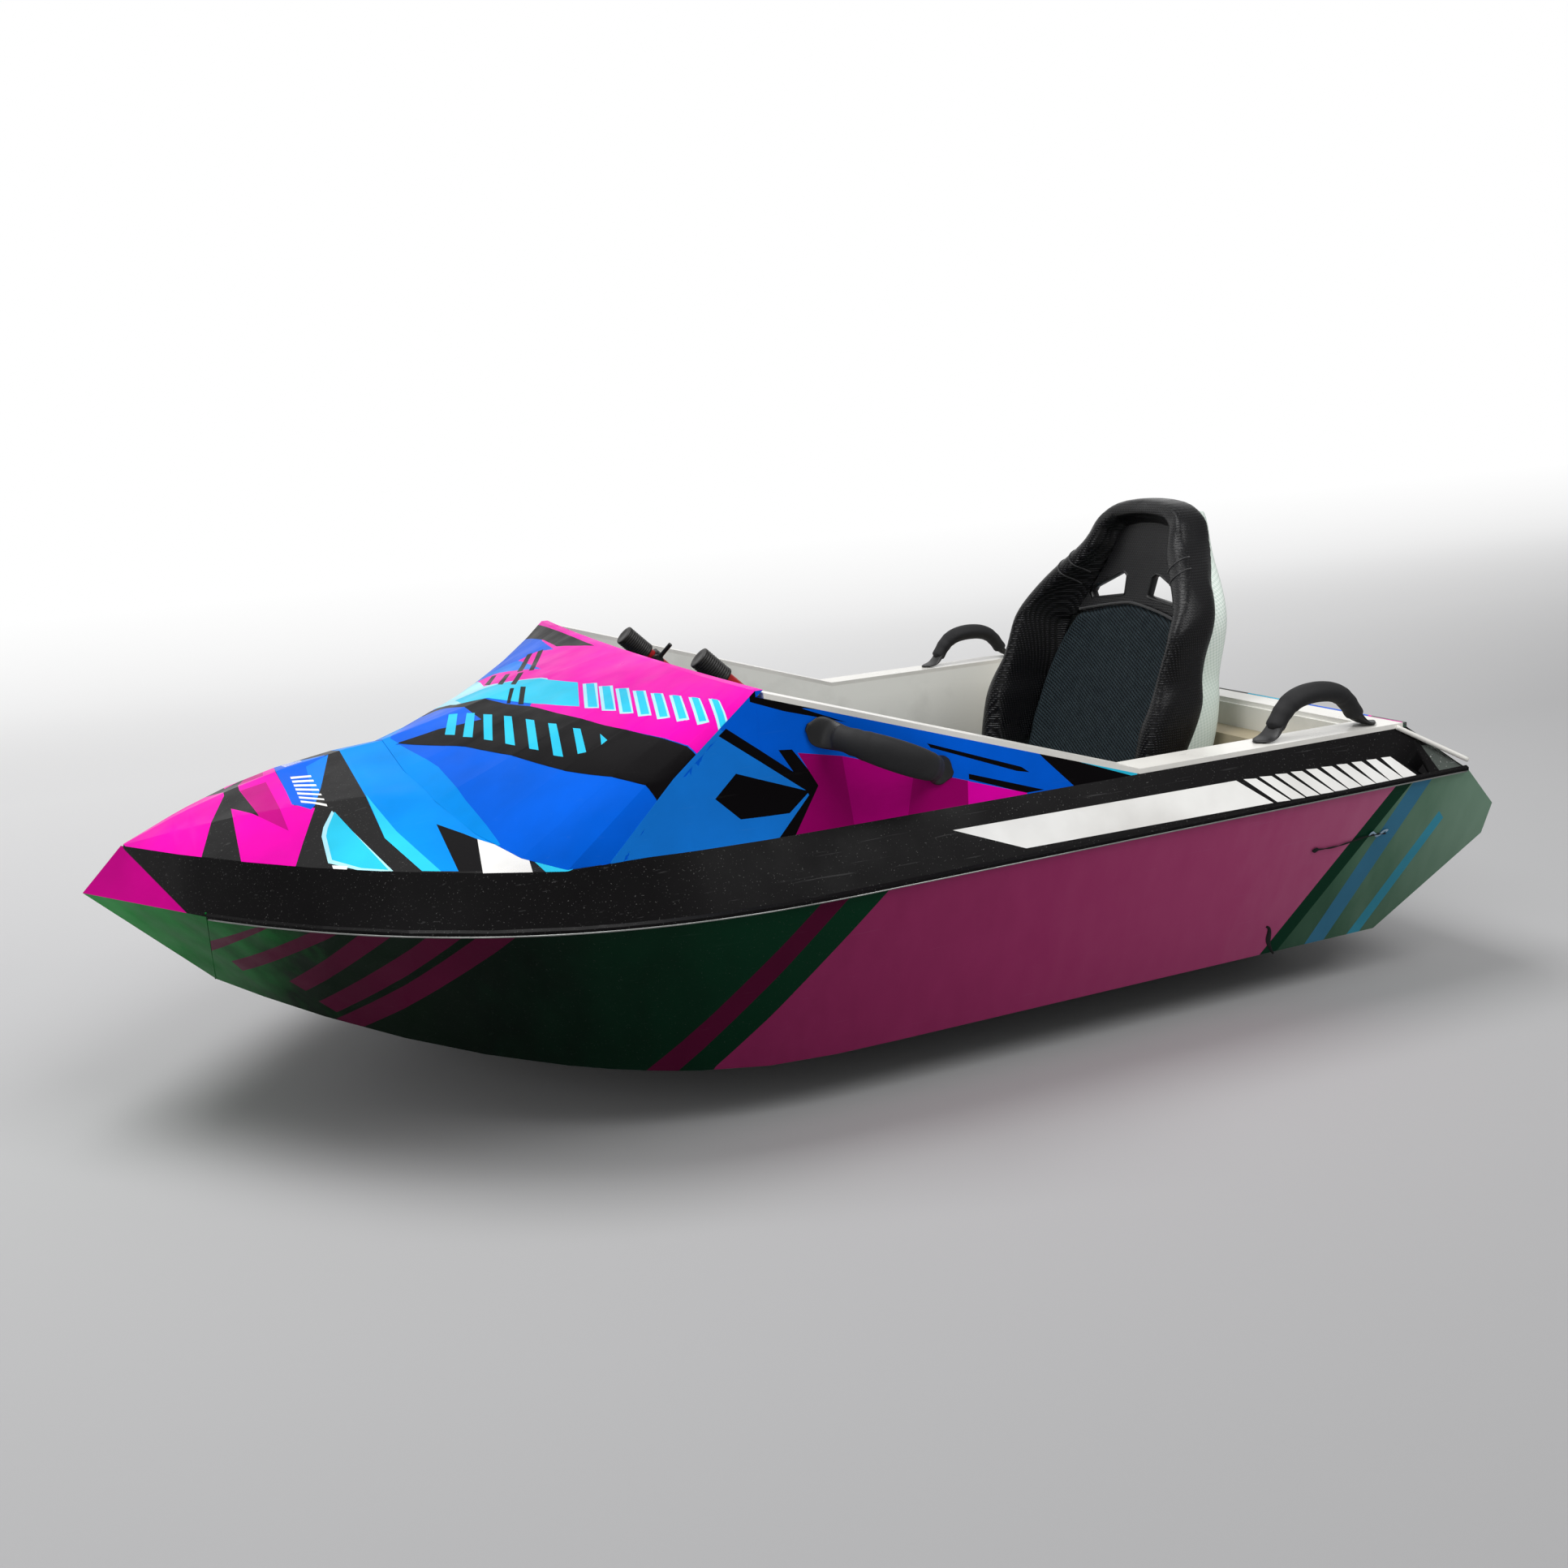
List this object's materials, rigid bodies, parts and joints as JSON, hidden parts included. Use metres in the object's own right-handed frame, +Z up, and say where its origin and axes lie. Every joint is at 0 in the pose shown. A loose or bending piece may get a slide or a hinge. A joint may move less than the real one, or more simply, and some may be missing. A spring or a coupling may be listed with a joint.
{
  "type": "single-seat jet boat",
  "caption": "Stubby single-seat personal watercraft with a faceted hull, a bucket seat, yoke steering and a steerable jet drive.",
  "frame": {"origin": "centre of the whole part's footprint, on the floor under the flat keel pad", "axes": "+X to the bow, +Y to port, +Z up"},
  "size_m": [2.2, 1.3436, 0.822],
  "materials": {
    "gelcoat_dark": "gloss",
    "gelcoat_band": "gloss",
    "gelcoat_magenta": "gloss",
    "gelcoat_blue": "gloss",
    "gelcoat_white": "gloss",
    "gelcoat_bottom": "satin",
    "floor_grey": "matte",
    "cover_tan": "matte",
    "trim_light": "satin",
    "engine_paint": "satin",
    "cast_alloy": "cast",
    "stainless": "brushed",
    "yoke_red": "gloss",
    "grip_rubber": "matte",
    "lever_black": "matte",
    "seat_carbon": "gloss",
    "seat_leather": "satin",
    "seat_mesh": "woven"
  },
  "bodies": {
    "hull": {"hull_side_port": "gelcoat_dark", "hull_side_starboard": "gelcoat_dark", "lower_nose": "gelcoat_dark", "transom_upper": "gelcoat_dark", "side_band_port": "gelcoat_band", "side_band_starboard": "gelcoat_band", "bow_cap": "gelcoat_magenta", "foredeck": "gelcoat_magenta", "cowl": "gelcoat_magenta", "coaming_port": "gelcoat_blue", "coaming_starboard": "gelcoat_blue", "gunwale_cap_port": "gelcoat_white", "gunwale_cap_starboard": "gelcoat_white", "transom_cap": "gelcoat_white", "liner_port": "gelcoat_white", "liner_starboard": "gelcoat_white", "forward_bulkhead": "gelcoat_white", "aft_wall": "gelcoat_white", "hull_bottom": "gelcoat_bottom", "transom_lower": "gelcoat_bottom", "jet_tunnel": "gelcoat_bottom", "intake_duct": "gelcoat_bottom", "cockpit_floor": "floor_grey", "seat_pedestal": "floor_grey", "console": "floor_grey", "aft_cover": "cover_tan", "rub_rail": "trim_light", "engine_block": "engine_paint", "engine_beds": "cast_alloy", "pump_housing": "cast_alloy", "ride_plate": "cast_alloy", "intake_grate": "cast_alloy", "seat_rails": "stainless", "stern_eyes": "stainless", "handle_aft_port": "grip_rubber", "handle_aft_starboard": "grip_rubber", "handle_fore_port": "grip_rubber", "handle_fore_starboard": "grip_rubber", "seat_shell": "seat_carbon", "seat_bolsters": "seat_leather", "seat_head_pad": "seat_leather", "seat_cushion": "seat_leather", "seat_back_pad": "seat_mesh"},
    "yoke": {"steering_column": "stainless", "yoke_hub": "cast_alloy", "yoke_tube": "yoke_red", "grip_port": "grip_rubber", "grip_starboard": "grip_rubber", "thumb_throttle": "lever_black"},
    "impeller": {"impeller": "stainless"},
    "nozzle": {"steering_nozzle": "cast_alloy"},
    "bucket": {"reverse_bucket": "cast_alloy"}
  },
  "joints": [
    {"name": "yoke_steer", "type": "hinge", "parent": "hull", "child": "yoke", "pos_m": [0.058, 0, 0.567], "axis": [-0.7071, 0, 0.7071], "range_deg": [-60, 60]},
    {"name": "nozzle_steer", "type": "hinge", "parent": "hull", "child": "nozzle", "pos_m": [-1, 0, 0.1], "axis": [0, 0, 1], "range_deg": [-22, 22]},
    {"name": "impeller_spin", "type": "hinge", "parent": "hull", "child": "impeller", "pos_m": [-0.9, 0, 0.1], "axis": [1, 0, 0], "continuous": true},
    {"name": "bucket_tilt", "type": "hinge", "parent": "nozzle", "child": "bucket", "pos_m": [-1.035, 0, 0.1], "axis": [0, -1, 0], "range_deg": [0, 70]}
  ],
  "couplings": [
    {"joint": "nozzle_steer", "follows": "yoke_steer", "ratio": -0.3333}
  ]
}
